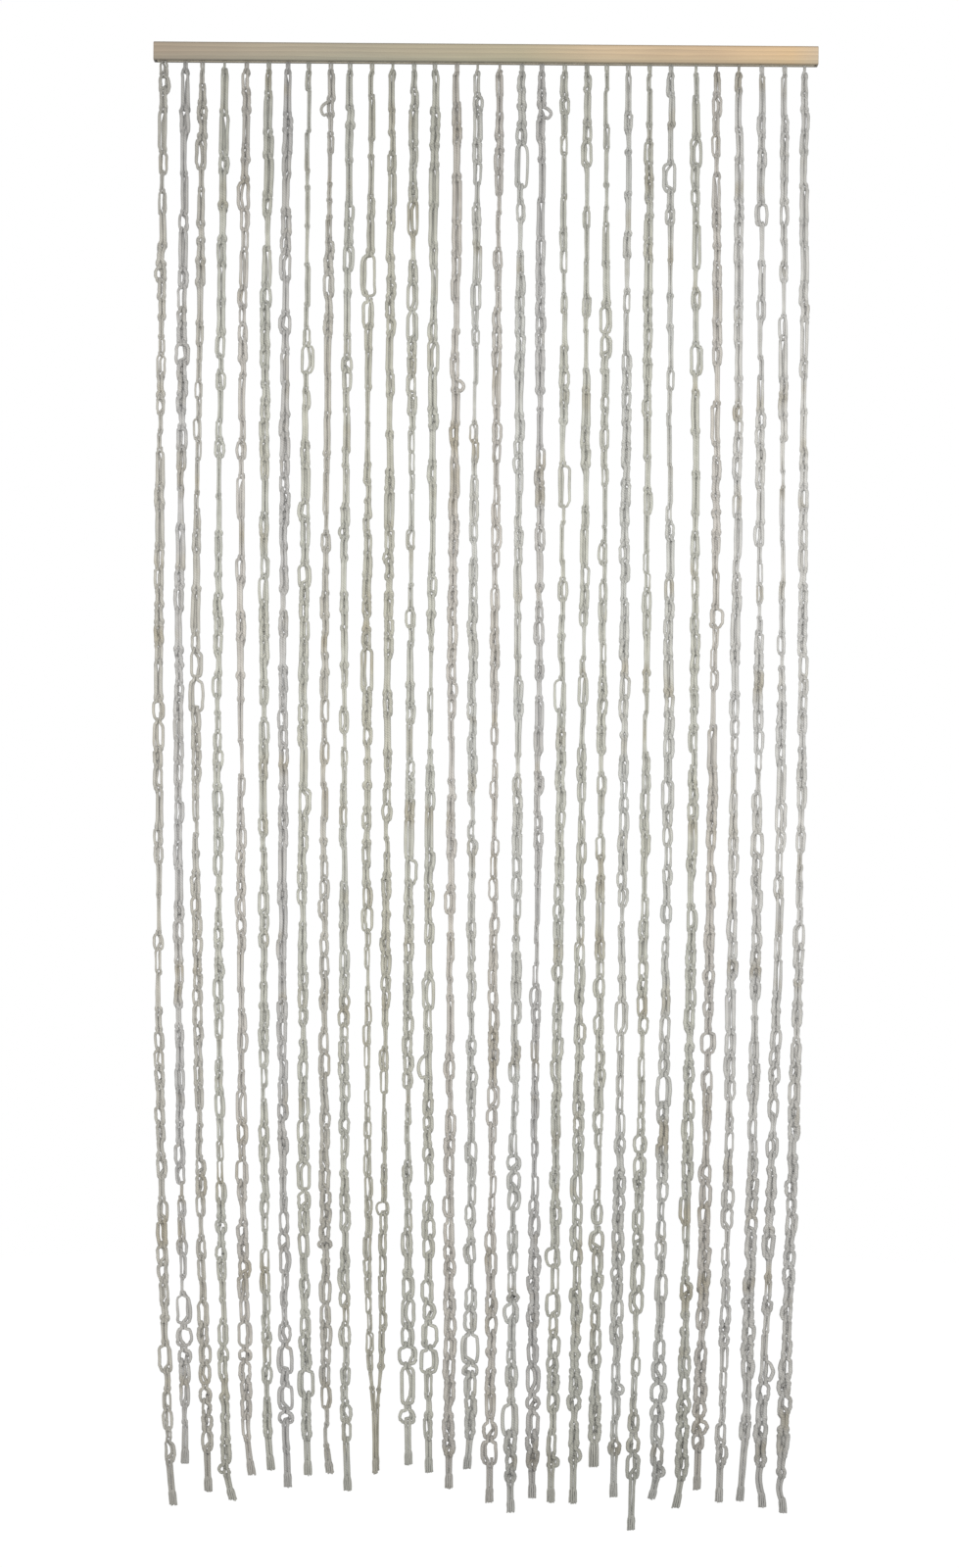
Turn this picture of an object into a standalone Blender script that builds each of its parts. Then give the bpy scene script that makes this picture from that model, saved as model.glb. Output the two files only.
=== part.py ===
"""A string curtain with its rail: 31 hand-looped strings that hang from a wooden lath.

The lath's back face is at y = 0, against the wall, and the strings' front is towards -Y. The origin is the
middle of that back face. Every string is one cord worked into a chain of stitches. It has tight stretches,
where three runs of cord lie side by side, and open loops, where two runs stand apart around a hole.
"""

import math
import random
from collections import namedtuple

import bmesh
import bpy
import numpy as np
from mathutils import Vector

MM = 0.001

# Driving sizes of the lath, in metres
RAIL_LENGTH = 900 * MM
RAIL_DEPTH = 18 * MM
RAIL_HEIGHT = 25 * MM
RAIL_EASED_EDGE = 1 * MM
RAIL_GROOVE_WALL = 4.2 * MM
RAIL_GROOVE_DEPTH = 4.6 * MM

# The strip that holds the roots fills the groove, a running gap away from its walls
GAP = 0.3 * MM
STRIP_DEPTH = RAIL_DEPTH - 2 * RAIL_GROOVE_WALL - 2 * GAP
STRIP_HEIGHT = RAIL_GROOVE_DEPTH - GAP
STRIP_LENGTH = RAIL_LENGTH - 2 * RAIL_GROOVE_WALL - 2 * GAP
STRIP_CUT_X = 4 * MM
ROOT_CELL = 2 * MM

UNDERSIDE_Z = -RAIL_HEIGHT / 2
STRING_Y = -RAIL_DEPTH / 2

# Sizes of the cord and of the chain worked from it, in millimetres
LEAD = 17
SINGLE_LEAD_WIDTH = 3.8
DOUBLE_LEAD_WIDTH = 6.2
LEAD_DEPTH = 3.8
TIGHT_WIDTH_SPREAD = 2.0
TIGHT_DEPTH = 8
LEG_DEPTH = 4.6
TAIL_WIDTH = 8.6
TAIL_DEPTH = 7.6
TAIL_TAPER = 14
END_WIDTH = 13
END_TOP_WIDTH = 11.4
END_DEPTH = 7.6
END_HEIGHT = 20
END_FLARE = 6
BAR = 3.2
BAR_SHARE = 0.72
BAR_REACH = 9
SMALL_LOOP = 15
SHORT_LOOP = 16
SOLID_RUN = 88

# Where an open loop is at its full width, as shares of its height
SMALL_LOOP_AT = (0.5,)
LARGE_LOOP_AT = (0.18, 0.8)

# The widths of the tight chain and of an open loop's legs at a drop: the cord is worked looser to the foot
Breadth = namedtuple("Breadth", "drop chain leg")
BREADTHS = (
    Breadth(0, 10.4, 3.8),
    Breadth(800, 10.4, 3.8),
    Breadth(1150, 11.2, 4.0),
    Breadth(1400, 12.4, 4.2),
    Breadth(1650, 13.8, 4.6),
    Breadth(2000, 14.2, 4.6),
)

# The strings at the left are worked a little fuller above this drop and those at the right below it, by this
# share at the lath's ends. Strings 11 and 12 are slender towards the foot: their share of the full width and
# the drops between which they become so.
FULLER = 0.1
LEVEL_DROP = 875
SLENDER = {10: 0.7, 11: 0.7}
SLENDER_FROM, SLENDER_TO = 1300, 1450

# The strings fan out a little at mid height, and each wanders slowly from side to side
FAN = 0.010
WANDER = 1.3

# How often a plain stitch is left open, how much broader it then is than the chain, and the sizes that plain
# stitches are drawn from, in millimetres
STITCH_SEED = 100
WIDTH_SEED = 500
STITCH_PITCH = 26
PITCH_SPREAD = 0.22
PLAIN_ASIDE = 1.5
SHORTEST_RUN = 11.2
SHORTEST_OPEN = 14
OPEN_SHARE = 0.062
OPEN_FROM, OPEN_TO = 1.25, 1.5

Loop = namedtuple("Loop", "drop tall wide aside", defaults=(0,))
String = namedtuple("String", "top hang shift lean tail loops")

# One row for each string, left to right, in millimetres. top is its root's place along the lath, hang its
# length below the lath, shift how far its foot has moved sideways, lean how far its tail then leans and tail
# the plain end. loops gives its widest loops: the drop to the loop's top, its height, its width and how far
# it stands aside.
STRINGS = (
    String(-436, 1956, 23, 4, 54, (
        (3, 20, 14), (281, 20, 17, -2), (869, 24, 18), (898, 38, 16),
        (1741, 36, 20, -1), (1829, 26, 16), (1871, 28, 16, 2))),
    String(-407, 1900, 15, -2, 52, (
        (385, 28, 21), (1673, 38, 22, 1), (1717, 24, 24, 1), (1747, 18, 20, 1))),
    String(-384, 1938, 22, 0, 54, (
        (108, 40, 16, -1), (801, 34, 18, 1), (840, 42, 22, 1),
        (1681, 34, 17), (1766, 26, 17), (1798, 20, 19))),
    String(-354, 1949, 17, 9, 32, (
        (1571, 16, 18), (1606, 20, 17, -1), (1711, 28, 15), (1744, 17, 17), (1901, 14, 14, -5))),
    String(-324, 1915, 15, 6, 46, (
        (165, 38, 18, -2), (1396, 44, 16, -1), (1709, 32, 21), (1746, 14, 20), (1763, 26, 18, -1))),
    String(-294, 1908, 13, 4, 46, ((308, 26, 17), (701, 36, 15, -1), (1181, 20, 15), (1721, 18, 15, 1))),
    String(-268, 1931, 13, 1, 48, (
        (261, 36, 17, -1), (344, 26, 18, -1), (1711, 24, 19), (1741, 36, 23),
        (1794, 32, 23), (1830, 15, 23))),
    String(-240, 1915, 12, 1, 50, (
        (386, 37, 19, 2), (598, 26, 17, -2), (683, 30, 19), (986, 36, 18, 3),
        (1491, 37, 20), (1532, 24, 19), (1773, 36, 24))),
    String(-210, 1912, 8, 5, 34, ((55, 22, 14, -8), (1598, 9, 21), (1651, 30, 17), (1686, 26, 16))),
    String(-184, 1935, 9, 2, 66, ((251, 34, 16, 1), (401, 20, 17), (631, 16, 15, -2), (1769, 24, 15))),
    String(-154, 1911, 12, 0, 84, ((262, 56, 22, -2), (326, 36, 17, -2), (796, 58, 18), (1146, 32, 17))),
    String(-126, 1908, -2, 0, 84, ((665, 15, 16, -1), (1006, 22, 16), (1545, 18, 19, -1))),
    String(-97, 1900, 5, 1, 54, (
        (189, 46, 16), (301, 35, 17), (341, 38, 17), (1081, 34, 18, 3),
        (1676, 38, 20, 1), (1740, 24, 28), (1768, 50, 21), (1826, 18, 24, -1))),
    String(-69, 1910, 5, 1, 46, (
        (379, 42, 17), (1241, 42, 18), (1344, 37, 21, -5), (1681, 22, 19, 2), (1710, 31, 24, 2),
        (1744, 32, 26, 1))),
    String(-39, 1931, 3, 0, 46, (
        (430, 18, 18, 5), (1351, 26, 16, -1), (1536, 28, 16, -2), (1572, 30, 15, -1))),
    String(-11, 1905, 4, -5, 44, (
        (301, 34, 15), (1601, 26, 18, -2), (1691, 28, 19, -1), (1723, 39, 26, -1), (1765, 14, 24, -1))),
    String(19, 1950, 0, 0, 50, (
        (626, 33, 16, 1), (1386, 32, 18, 1), (1802, 34, 15), (1842, 22, 22), (1867, 32, 24, -1))),
    String(49, 1963, -2, 1, 36, (
        (111, 58, 20, 1), (1481, 18, 21), (1503, 24, 20), (1667, 11, 18, 1),
        (1681, 26, 22, -2), (1816, 44, 24, -2), (1908, 14, 17))),
    String(76, 1944, 0, 1, 40, (
        (60, 18, 14, 8), (1735, 26, 17), (1765, 36, 20, 1), (1807, 16, 21, 1), (1828, 32, 19, 1))),
    String(107, 1949, -5, 0, 42, (
        (546, 56, 18, 2), (836, 44, 18, -2), (1605, 26, 22, -3), (1667, 31, 23, -1), (1888, 14, 14, 5))),
    String(137, 1950, -5, 0, 48, ((108, 32, 16), (831, 40, 15), (1506, 38, 17, -2), (1876, 20, 15, 4))),
    String(164, 1901, -4, 0, 34, ((331, 34, 18), (371, 28, 17, 1), (1546, 26, 17, -1), (1582, 28, 22, -1))),
    String(193, 1941, -6, 0, 46, ((652, 26, 16, -1), (1271, 44, 19), (1788, 16, 14, 6), (1866, 18, 19))),
    String(222, 1986, -11, 0, 62, (
        (1452, 23, 20), (1481, 28, 19), (1551, 32, 17, -1), (1622, 40, 20),
        (1829, 24, 18), (1861, 20, 20), (1885, 32, 21))),
    String(251, 1944, -6, -7, 26, (
        (136, 38, 19, -2), (971, 40, 18), (1371, 42, 22), (1640, 36, 19, 1),
        (1757, 27, 21), (1787, 26, 25), (1817, 22, 20, -1), (1900, 15, 14, 5))),
    String(285, 1955, -6, -8, 40, (
        (102, 39, 17), (382, 39, 18, 1), (1535, 37, 16, -3), (1827, 16, 15, -3))),
    String(313, 1931, -13, 0, 54, ((738, 26, 20, 3), (1312, 28, 22), (1813, 20, 20), (1838, 18, 24, 2))),
    String(343, 1947, -13, 0, 48, ((1708, 11, 15), (1723, 14, 15), (1871, 26, 17, 2))),
    String(374, 1945, -11, -5, 70, ((190, 28, 19), (1041, 34, 18), (1670, 16, 17, -2), (1838, 26, 16, -1))),
    String(405, 1954, -22, 6, 58, ((1000, 40, 16, 1), (1675, 16, 16, 1), (1755, 32, 22, 4))),
    String(432, 1961, -20, 5, 50, ((711, 22, 13), (1165, 32, 17), (1681, 20, 17, -2))),
)
LEFT_COUNT = 16

# Most strings leave the strip doubled, and these leave it as one run of cord
SINGLE_LEADS = (3, 11, 15, 16, 25, 26, 27, 30)

# Strings 11 and 12 hang together at the foot, one in front of the other: how far each stands off, how far it
# has moved over to meet the other, and the drops between which it does
STAND_OFF = {10: -4.8, 11: 4.6}
MOVED_OVER = {10: 6, 11: -6.5}
MOVES_FROM, MOVES_TO = 1740, 1840

RAIL_COLOUR = (0.52, 0.42, 0.31)
CORD_COLOUR = (0.39, 0.37, 0.32)

# A level ring around a string: its outer edges, and the edges of the hole where the string is split there
Station = namedtuple("Station", "drop left right middle depth hole")


def breadth_at(number, drop):
    """A string's widths at this drop, in proportion between the table's rows."""
    drops, chains, legs = zip(*BREADTHS)
    along = STRINGS[number].top * MM / (RAIL_LENGTH / 2)
    scale = 1 - FULLER * along * (1 - drop / LEVEL_DROP)
    scale *= np.interp(drop, (SLENDER_FROM, SLENDER_TO), (1, SLENDER.get(number, 1)))
    return Breadth(drop, scale * np.interp(drop, drops, chains), scale * np.interp(drop, drops, legs))


def lead_of(number):
    """How far the string runs straight down before its first stitch."""
    return min(LEAD, STRINGS[number].loops[0][0])


def stitches_of(number):
    """The string's stitches from its lead to its tail: the table's loops, with plain stitches between. A
    stitch that is drawn tight has no width of its own."""
    string = STRINGS[number]
    draw = random.Random(STITCH_SEED + number)
    found = []
    reached = lead_of(number)
    for loop in [Loop(*row) for row in string.loops] + [Loop(string.hang - string.tail, 0, 0)]:
        room = loop.drop - reached
        count = max(1, round(room / STITCH_PITCH)) if room > SHORTEST_RUN else 0
        shares = [1 + draw.uniform(-PITCH_SPREAD, PITCH_SPREAD) for _ in range(count)]
        for share in shares:
            tall = room * share / sum(shares)
            opened = draw.random() < OPEN_SHARE and tall > SHORTEST_OPEN
            wide = breadth_at(number, reached).chain * draw.uniform(OPEN_FROM, OPEN_TO) if opened else 0
            aside = draw.uniform(-PLAIN_ASIDE, PLAIN_ASIDE)
            found.append(Loop(reached, tall, wide, aside))
            reached += tall
        if loop.tall:
            found.append(loop)
            reached = loop.drop + loop.tall
    return found


def path_x(number, drop):
    """How far along the lath the string's middle is at this drop, in millimetres."""
    string = STRINGS[number]
    share = drop / string.hang
    into_tail = max(0, drop - (string.hang - 1.5 * string.tail)) / (1.5 * string.tail)
    wander = WANDER * math.sin(5 * share + number) * math.sin(math.pi * min(1, 1.2 * share))
    fan = FAN * string.top * math.sin(math.pi * share)
    moved = min(1, max(0, (drop - MOVES_FROM) / (MOVES_TO - MOVES_FROM)))
    over = MOVED_OVER.get(number, 0) * moved**2 * (3 - 2 * moved)
    return string.top + fan + wander + over + string.shift * share**3 + string.lean * into_tail**1.5


def path_y(number, drop):
    """How far in front of the strip's middle the string's middle is at this drop, in millimetres."""
    share = drop / STRINGS[number].hang
    if number in STAND_OFF:
        return STAND_OFF[number] * min(1, 2 * share) ** 2
    return WANDER * math.sin(4 * share + 2.3 * number) * share


def solid_station(number, drop, wide, depth=TIGHT_DEPTH):
    x = path_x(number, drop)
    return Station(drop, x - wide / 2, x + wide / 2, x, depth, None)


def bar_width(number, upper, lower, drop):
    """The width at this drop, between two loops: a short bar there is wider than the plain chain."""
    chain = breadth_at(number, drop).chain
    if lower.drop - upper.drop - upper.tall > BAR_REACH:
        return chain
    return max(chain, BAR_SHARE * min(upper.wide, lower.wide))


def loop_stations(number, loop, width_above, width_below):
    """Where the string splits around a hole, runs wide and closes again."""
    breadth = breadth_at(number, loop.drop)
    trunk = breadth.chain / 2
    low = loop.drop + loop.tall - BAR
    open_at = SMALL_LOOP_AT if loop.wide < SMALL_LOOP or loop.tall < SHORT_LOOP else LARGE_LOOP_AT
    found = [solid_station(number, loop.drop, width_above)]
    for share in open_at:
        drop = loop.drop + (low - loop.drop) * share
        x = path_x(number, drop)
        middle = x + loop.aside
        near, far = middle - loop.wide / 2, middle + loop.wide / 2
        hole = (near + breadth.leg, far - breadth.leg)
        left = min(near, x - trunk) if loop.aside > 2 else near
        right = max(far, x + trunk) if loop.aside < -2 else far
        found.append(Station(drop, left, right, middle, LEG_DEPTH, hole))
    found.append(solid_station(number, low, width_below))
    return found


def plain_stations(number, start, end, draw):
    """Stations along a stretch with no hole, one about every hand's breadth."""
    count = max(1, round((end - start) / SOLID_RUN))
    for step in range(1, count):
        drop = start + (end - start) * step / count
        wide = breadth_at(number, drop).chain + draw.uniform(-1, 1) * TIGHT_WIDTH_SPREAD
        yield solid_station(number, drop, wide)


def stations_of(number):
    """Every station of a string, from its root to the cut end of its tail."""
    string = STRINGS[number]
    draw = random.Random(WIDTH_SEED + number)
    lead = lead_of(number)
    lead_width = SINGLE_LEAD_WIDTH if number in SINGLE_LEADS else DOUBLE_LEAD_WIDTH
    found = [solid_station(number, 0, lead_width, LEAD_DEPTH)]
    if lead == LEAD:
        found.append(solid_station(number, lead - BAR, lead_width, LEAD_DEPTH))
        found.append(solid_station(number, lead + BAR, breadth_at(number, lead).chain))
    foot = string.hang - string.tail
    openings = [loop for loop in stitches_of(number) if loop.wide]
    around = [Loop(-string.hang, 0, 0), *openings, Loop(2 * string.hang, 0, 0)]
    for upper, loop, lower in zip(around, openings, around[2:]):
        width_above = bar_width(number, upper, loop, loop.drop)
        width_below = bar_width(number, loop, lower, loop.drop + loop.tall)
        opening = loop_stations(number, loop, width_above, width_below)
        if opening[0].drop - found[-1].drop < BAR:
            opening[0] = opening[0]._replace(drop=found[-1].drop + BAR)
        found += plain_stations(number, found[-1].drop, opening[0].drop, draw)
        found += opening
    if foot - found[-1].drop > BAR:
        found += plain_stations(number, found[-1].drop, foot, draw)
        found.append(solid_station(number, foot, breadth_at(number, foot).chain))
    end_top = string.hang - min(END_HEIGHT, 0.5 * string.tail)
    narrow = min(foot + TAIL_TAPER, end_top - END_FLARE)
    slim = SLENDER.get(number, 1)
    found.append(solid_station(number, narrow, slim * TAIL_WIDTH, TAIL_DEPTH))
    found.append(solid_station(number, end_top, slim * END_TOP_WIDTH, END_DEPTH))
    found.append(solid_station(number, string.hang, slim * END_WIDTH, END_DEPTH))
    return found


def ring_of(mesh, number, station):
    """The station's corners: left, front left, front right, right, back right and back left. Without a hole
    the two front corners are one point, and so are the two back corners."""
    y = STRING_Y + path_y(number, station.drop) * MM
    z = UNDERSIDE_Z - station.drop * MM
    front, back = y - station.depth / 2 * MM, y + station.depth / 2 * MM

    def point(x, depth):
        return mesh.verts.new(Vector((x * MM, depth, z)))

    left, right = point(station.left, y), point(station.right, y)
    if station.hole is None:
        fronts = [point(station.middle, front)] * 2
        backs = [point(station.middle, back)] * 2
    else:
        fronts = [point(x, front) for x in station.hole]
        backs = [point(x, back) for x in reversed(station.hole)]
    return [left, *fronts, right, *backs]


def add_string(mesh, number):
    """Builds a string below the strip and gives back its top ring, to be joined to the strip."""
    stations = stations_of(number)
    rings = [ring_of(mesh, number, station) for station in stations]
    for above, below in zip(rings, rings[1:]):
        for a, b in ((0, 1), (2, 3), (3, 4), (5, 0)):
            mesh.faces.new((above[a], below[a], below[b], above[b]))
        if above[1] is not above[2] or below[1] is not below[2]:
            for a, b in ((1, 5), (4, 2)):
                mesh.faces.new((above[a], below[a], below[b], above[b]))
    last = rings[-1]
    mesh.faces.new((last[0], last[5], last[3], last[1]))
    return [rings[0][k] for k in (0, 1, 3, 5)]


def strip_section(mesh, x):
    """Four corners of the strip: bottom front, bottom back, top back and top front."""
    front, back = STRING_Y - STRIP_DEPTH / 2, STRING_Y + STRIP_DEPTH / 2
    top = UNDERSIDE_Z + STRIP_HEIGHT
    corners = ((front, UNDERSIDE_Z), (back, UNDERSIDE_Z), (back, top), (front, top))
    return [mesh.verts.new((x, y, z)) for y, z in corners]


def add_strip(mesh, numbers, start, end):
    """The strip from start to end, with the top of each string fused into its underside."""
    sections = [strip_section(mesh, start)]
    mesh.faces.new(sections[0])
    for number in numbers:
        left, front, right, back = add_string(mesh, number)
        here = [strip_section(mesh, left.co.x - ROOT_CELL), strip_section(mesh, right.co.x + ROOT_CELL)]
        close_strip(mesh, sections[-1], here[0], True)
        close_strip(mesh, here[0], here[1], False)
        cell = (here[0][0], here[1][0], here[1][1], here[0][1])
        root = (front, right, back, left)
        for k in range(4):
            mesh.faces.new((cell[k], cell[(k + 1) % 4], root[k]))
            mesh.faces.new((cell[(k + 1) % 4], root[(k + 1) % 4], root[k]))
        sections += here
    sections.append(strip_section(mesh, end))
    close_strip(mesh, sections[-2], sections[-1], True)
    mesh.faces.new(reversed(sections[-1]))


def close_strip(mesh, here, there, underside):
    """Faces between two sections of the strip, with or without its underside."""
    for k in range(0 if underside else 1, 4):
        mesh.faces.new((here[k], there[k], there[(k + 1) % 4], here[(k + 1) % 4]))


def material_of(name, colour, roughness):
    material = bpy.data.materials.new(name)
    material.use_nodes = True
    shader = material.node_tree.nodes["Principled BSDF"]
    shader.inputs["Base Color"].default_value = (*colour, 1)
    shader.inputs["Roughness"].default_value = roughness
    shader.inputs["Metallic"].default_value = 0
    return material


def add_object(name, mesh, material):
    """Turns the bmesh into an object of its own, its faces facing out."""
    bmesh.ops.recalc_face_normals(mesh, faces=mesh.faces)
    bmesh.ops.triangulate(mesh, faces=[face for face in mesh.faces if len(face.verts) > 3])
    data = bpy.data.meshes.new(name)
    mesh.to_mesh(data)
    mesh.free()
    data.materials.append(material)
    bpy.context.scene.collection.objects.link(bpy.data.objects.new(name, data))


def build_rail():
    """The lath, its edges eased, with a blind groove in its underside."""
    mesh = bmesh.new()
    bmesh.ops.create_cube(mesh, size=1)
    bmesh.ops.scale(mesh, vec=(RAIL_LENGTH, RAIL_DEPTH, RAIL_HEIGHT), verts=mesh.verts)
    bmesh.ops.translate(mesh, vec=(0, -RAIL_DEPTH / 2, 0), verts=mesh.verts)
    bmesh.ops.bevel(mesh, geom=mesh.edges[:], offset=RAIL_EASED_EDGE, segments=2, profile=0.5,
                    affect="EDGES")
    mesh.normal_update()
    underside = min(mesh.faces, key=lambda face: face.normal.z)
    bmesh.ops.inset_region(mesh, faces=[underside], thickness=RAIL_GROOVE_WALL - RAIL_EASED_EDGE)
    floor = bmesh.ops.extrude_face_region(mesh, geom=[underside])["geom"]
    bmesh.ops.delete(mesh, geom=[underside], context="FACES_ONLY")
    moved = [item for item in floor if isinstance(item, bmesh.types.BMVert)]
    bmesh.ops.translate(mesh, vec=(0, 0, RAIL_GROOVE_DEPTH), verts=moved)
    add_object("rail", mesh, material_of("rail_wood", RAIL_COLOUR, 0.6))


def build_strings(name, numbers, start, end, material):
    mesh = bmesh.new()
    add_strip(mesh, numbers, start, end)
    add_object(name, mesh, material)


def main():
    for thing in list(bpy.data.objects):
        bpy.data.objects.remove(thing, do_unlink=True)
    build_rail()
    cord = material_of("cord", CORD_COLOUR, 0.85)
    half = STRIP_LENGTH / 2
    build_strings("strings_left", range(LEFT_COUNT), -half, STRIP_CUT_X - GAP / 2, cord)
    build_strings("strings_right", range(LEFT_COUNT, len(STRINGS)), STRIP_CUT_X + GAP / 2, half, cord)


main()
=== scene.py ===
"""The looks of a string curtain with its rail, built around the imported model.

Every string is one cord worked by hand into a long chain. Each stitch comes out through the loop above it,
goes down one leg, round its bend, up the other leg, over the bend above and down the back to the next
stitch. The lath keeps its solid and gets a bare wood finish. Lengths are in millimetres, and the front
faces -Y.
"""

import math
import random
from collections import namedtuple

import bmesh
import bpy
import mathutils
import numpy as np
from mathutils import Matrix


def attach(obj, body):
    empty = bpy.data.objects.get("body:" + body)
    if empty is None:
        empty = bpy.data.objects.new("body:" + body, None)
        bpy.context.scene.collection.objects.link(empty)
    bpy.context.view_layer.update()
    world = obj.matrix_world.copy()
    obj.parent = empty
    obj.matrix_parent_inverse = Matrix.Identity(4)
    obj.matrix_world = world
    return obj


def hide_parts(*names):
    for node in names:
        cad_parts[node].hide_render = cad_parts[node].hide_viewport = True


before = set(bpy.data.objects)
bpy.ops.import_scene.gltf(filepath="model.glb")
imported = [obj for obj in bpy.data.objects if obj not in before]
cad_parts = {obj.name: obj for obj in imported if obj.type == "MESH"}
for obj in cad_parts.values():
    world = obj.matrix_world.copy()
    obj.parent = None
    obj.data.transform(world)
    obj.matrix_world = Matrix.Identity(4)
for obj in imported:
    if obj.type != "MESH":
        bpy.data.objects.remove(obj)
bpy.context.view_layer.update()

MM = 0.001

# The lath and the strip in its underside, as the solids have them
RAIL_LENGTH = 900
RAIL_DEPTH = 18
RAIL_HEIGHT = 25
GROOVE_WALL = 4.2
GROOVE_DEPTH = 4.6
GAP = 0.3
STRIP_DEPTH = RAIL_DEPTH - 2 * GROOVE_WALL - 2 * GAP
STRIP_HEIGHT = GROOVE_DEPTH - GAP
STRIP_LENGTH = RAIL_LENGTH - 2 * GROOVE_WALL - 2 * GAP
UNDERSIDE_Z = -RAIL_HEIGHT / 2
STRING_Y = -RAIL_DEPTH / 2

# The chain's sizes, as the solids have them
LEAD = 17
STITCH_SEED = 100
STITCH_PITCH = 26
PITCH_SPREAD = 0.22
PLAIN_ASIDE = 1.5
SHORTEST_RUN = 11.2
SHORTEST_OPEN = 14
OPEN_SHARE = 0.062
OPEN_FROM, OPEN_TO = 1.25, 1.5
FAN = 0.010
WANDER = 1.3
END_HEIGHT = 20

Loop = namedtuple("Loop", "drop tall wide aside", defaults=(0,))
String = namedtuple("String", "top hang shift lean tail loops")

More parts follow.
